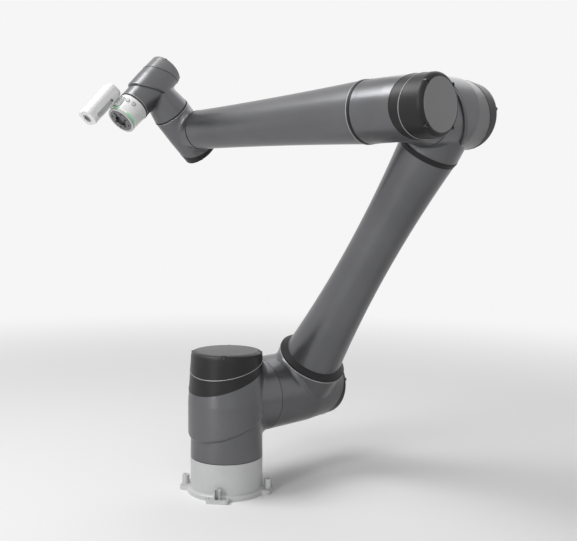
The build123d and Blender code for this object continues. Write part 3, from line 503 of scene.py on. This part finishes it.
def railOutline(size):
    half, spots = size["wide"] / 2, []
    turns = ((size["end"], 1, 0), (size["start"], 1, 90), (size["start"], -1, 180), (size["end"], -1, 270))
    for end, side, begin in turns:
        inward = -size["round"] if end == size["end"] else size["round"]
        for step in range(size["steps"] + 1):
            lap = math.radians(begin + 90 * step / size["steps"])
            spots.append((end + inward + size["round"] * math.cos(lap),
                          side * (half - size["round"]) + size["round"] * math.sin(lap)))
    return spots


def screwProfile(size):
    return [(size["tip"], 0.0), (size["radius"], 0.0), (size["radius"], size["side"]),
            (size["radius"] * size["topShare"], size["top"]), (size["tip"], size["top"])]


def cameraRail(size, screw):
    start, outward, side, reach = cameraPlace()
    face = Matrix((handAxis, side.cross(handAxis), side)).transposed().to_4x4()
    spot = Matrix.Translation(start + outward * size["out"] + side * reach) @ face
    outline = railOutline(size)
    count = len(outline)
    points = [(x, y, z) for z in (-size["sink"], size["proud"]) for x, y in outline]
    faces = [(index, (index + 1) % count, count + (index + 1) % count, count + index)
             for index in range(count)]
    faces += [tuple(range(count, 2 * count)), tuple(reversed(range(count)))]
    addMesh("cameraRail", points, faces, "beadGrey", "end_module", spot, smooth=False)
    seat = spot @ Matrix.Translation((screw["at"], 0, size["proud"]))
    lathe("cameraRailScrew", screwProfile(screw), seat, "blackScrew", "end_module", screw["steps"])


cameraRail(rail, railScrew)


# Fine rings in the shell around the two push buttons
buttonRing = {"station": 0.0401, "radius": 0.0054, "thick": 0.0005, "steps": 48}
for name in ("guide_button", "teach_button"):
    corners = [vertex.co for vertex in nodes[name].data.vertices]
    middle = sum(corners, Vector()) / len(corners) - jointPoint("flange_turn")
    along = handAxis * middle.dot(handAxis)
    facing = (middle - along).normalized()
    spot = turnTo(jointPoint("flange_turn") + along + facing * buttonRing["station"], facing)
    lathe(f"{name}Ring", rimProfile(buttonRing), spot, "beadGrey", "end_module", buttonRing["steps"])
print("camera rail and button rings made")


# Socket screws set in a circle by a Geometry Nodes rule, each with its own clocking
holeRings = {
    "flangeScrews": {"at": jointPoint("flange_turn") + handAxis * 0.136, "axis": handAxis,
                     "body": "end_module", "finish": "blackScrew", "Count": 4, "Circle Radius": 0.0190,
                     "Head Radius": 0.0023, "Head Sides": 32, "Hole Radius": 0.0012, "Hole Sides": 6,
                     "Height": 0.0016, "Hole Depth": 0.0011, "Turn": 0.0, "Clocking": 1.0, "Seed": 7},
}


class PartRing(NodeWork):
    def __init__(self, name, size):
        super().__init__(bpy.data.node_groups.new(f"{name}Rule", "GeometryNodeTree"))
        self.tree.is_modifier = True
        labels = [label for label in size if label[0].isupper()]
        self.sockets = {label: self.addInput(label, size[label]) for label in labels}
        self.tree.interface.new_socket("Geometry", in_out="OUTPUT", socket_type="NodeSocketGeometry")
        self.given = self.tree.nodes.new("NodeGroupInput")
        self.end = self.tree.nodes.new("NodeGroupOutput")

    def addInput(self, label, value):
        kind = "NodeSocketInt" if isinstance(value, int) else "NodeSocketFloat"
        return self.tree.interface.new_socket(label, in_out="INPUT", socket_type=kind).identifier

    def value(self, label):
        return Wire(self, self.given.outputs[label])

    def upVector(self, length):
        return self.node("ShaderNodeCombineXYZ", {}, {"Z": length})

    def round(self, sides, radius, depth):
        return self.node("GeometryNodeMeshCylinder", {}, {
            "Vertices": sides, "Radius": radius, "Depth": depth})

    def lifted(self, geometry, height):
        return self.node("GeometryNodeTransform", {}, {
            "Geometry": geometry, "Translation": self.upVector(height)})

    def screw(self):
        height, depth = self.value("Height"), self.value("Hole Depth")
        solid = self.round(self.value("Head Sides"), self.value("Head Radius"), height)
        hole = self.round(self.value("Hole Sides"), self.value("Hole Radius"), depth * 2.0)
        return self.node("GeometryNodeMeshBoolean", {"operation": "DIFFERENCE"}, {
            "Mesh 1": self.lifted(solid, height * 0.5), "Mesh 2": self.lifted(hole, height)})

    def spots(self):
        circle = self.node("GeometryNodeMeshCircle", {}, {
            "Vertices": self.value("Count"), "Radius": self.value("Circle Radius")})
        return self.node("GeometryNodeTransform", {}, {
            "Geometry": circle, "Rotation": self.upVector(self.value("Turn"))})

    # The random turn is a float: its largest value goes in at socket 3 and it comes out at 1
    def build(self, material):
        clock = self.node("FunctionNodeRandomValue", {}, {3: math.tau, "Seed": self.value("Seed")}, 1)
        made = self.node("GeometryNodeInstanceOnPoints", {}, {
            "Points": self.spots(), "Instance": self.screw(),
            "Rotation": self.upVector(clock * self.value("Clocking"))})
        real = self.node("GeometryNodeRealizeInstances", {}, {"Geometry": made})
        dressed = self.node("GeometryNodeSetMaterial", {}, {"Geometry": real, "Material": material})
        self.tree.links.new(dressed.socket, self.end.inputs[0])


def partRing(name, size):
    rule = PartRing(name, size)
    rule.build(materials[size["finish"]])
    maker = bpy.data.objects.new(f"{name}Maker", bpy.data.meshes.new(f"{name}Maker"))
    scene.collection.objects.link(maker)
    modifier = maker.modifiers.new("rule", "NODES")
    modifier.node_group = rule.tree
    for label, identifier in rule.sockets.items():
        modifier[identifier] = size[label]
    evaluated = maker.evaluated_get(bpy.context.evaluated_depsgraph_get())
    mesh = bpy.data.meshes.new_from_object(evaluated)
    maker.modifiers.clear()
    bpy.data.objects.remove(maker)
    mesh.transform(turnTo(size["at"], size["axis"]))
    mesh.name = name
    piece = bpy.data.objects.new(name, mesh)
    scene.collection.objects.link(piece)
    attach(piece, size["body"])


for name, size in holeRings.items():
    partRing(name, size)
print("screw rings made")


# Floor, backdrop and lights
stage = {"floor": 0.84, "size": 60.0, "world": 0.28, "white": 0.92, "fadeFrom": 1.1, "fadeTo": 3.4,
         "rough": 0.7}
lamps = {
    "keyLamp": {"at": (-1.3, 0.9, 3.2), "aim": (0.1, -0.1, 0.75), "size": (1.5, 1.5), "power": 68.0},
    "stripLamp": {"at": (-2.9, -0.5, 1.5), "aim": (0, -0.1, 0.7), "size": (0.6, 2.6), "power": 34.0},
    "fillLamp": {"at": (-2.2, -3.4, 1.6), "aim": (0, 0, 0.6), "size": (2.4, 2.4), "power": 16.0},
    "rimLamp": {"at": (2.6, 0.6, 2.8), "aim": (0.1, 0, 0.8), "size": (2.6, 2.6), "power": 20.0},
}


def addLamp(name, lamp):
    light = bpy.data.lights.new(name, "AREA")
    light.shape, light.energy = "RECTANGLE", lamp["power"]
    light.size, light.size_y = lamp["size"]
    holder = bpy.data.objects.new(name, light)
    holder.location = lamp["at"]
    holder.rotation_euler = (Vector(lamp["aim"]) - Vector(lamp["at"])).to_track_quat("-Z", "Y").to_euler()
    scene.collection.objects.link(holder)


for name, lamp in lamps.items():
    addLamp(name, lamp)


# Rays that show a white background: the camera's, and those in gloss and glass
def seenRays(work):
    kinds = ("Camera", "Glossy", "Transmission")
    rays = [work.node("ShaderNodeLightPath", {}, {}, f"Is {kind} Ray") for kind in kinds]
    first = rays[0].maths("MAXIMUM", rays[0], rays[1])
    return first.maths("MAXIMUM", first, rays[2])


def addWorld():
    world = bpy.data.worlds.new("studio")
    scene.world = world
    world.use_nodes = True
    work = NodeWork(world.node_tree)
    level = work.node("ShaderNodeMapRange", {}, {
        "Value": seenRays(work), "To Min": stage["world"], "To Max": stage["white"]})
    background = work.tree.nodes["Background"]
    work.tree.links.new(level.socket, background.inputs["Strength"])
    background.inputs["Color"].default_value = (1, 1, 1, 1)


def addFloor():
    half = stage["size"] / 2
    mesh = bpy.data.meshes.new("studioFloor")
    corners = [(-half, -half, 0), (half, -half, 0), (half, half, 0), (-half, half, 0)]
    mesh.from_pydata(corners, [], [(0, 1, 2, 3)])
    floor = bpy.data.objects.new("studioFloor", mesh)
    scene.collection.objects.link(floor)
    finish = Finish("floorPaint")
    finish.feed("Base Color", (stage["floor"],) * 3)
    finish.feed("Roughness", stage["rough"])
    reach = finish.node("ShaderNodeVectorMath", {"operation": "LENGTH"}, {0: finish.place}, "Value")
    fade = finish.node("ShaderNodeMapRange", {"interpolation_type": "SMOOTHSTEP"}, {
        "Value": reach, "From Min": stage["fadeFrom"], "From Max": stage["fadeTo"]})
    white = finish.node("ShaderNodeEmission", {}, {"Color": (1, 1, 1, 1), "Strength": stage["white"]})
    mixed = finish.node("ShaderNodeMixShader", {}, {0: fade * seenRays(finish), 2: white})
    finish.tree.links.new(finish.shader.outputs[0], mixed.socket.node.inputs[1])
    finish.tree.links.new(mixed.socket, finish.tree.nodes["Material Output"].inputs["Surface"])
    mesh.materials.append(finish.material)


addWorld()
addFloor()
scene.view_settings.view_transform = "Standard"
print("stage and lights set")
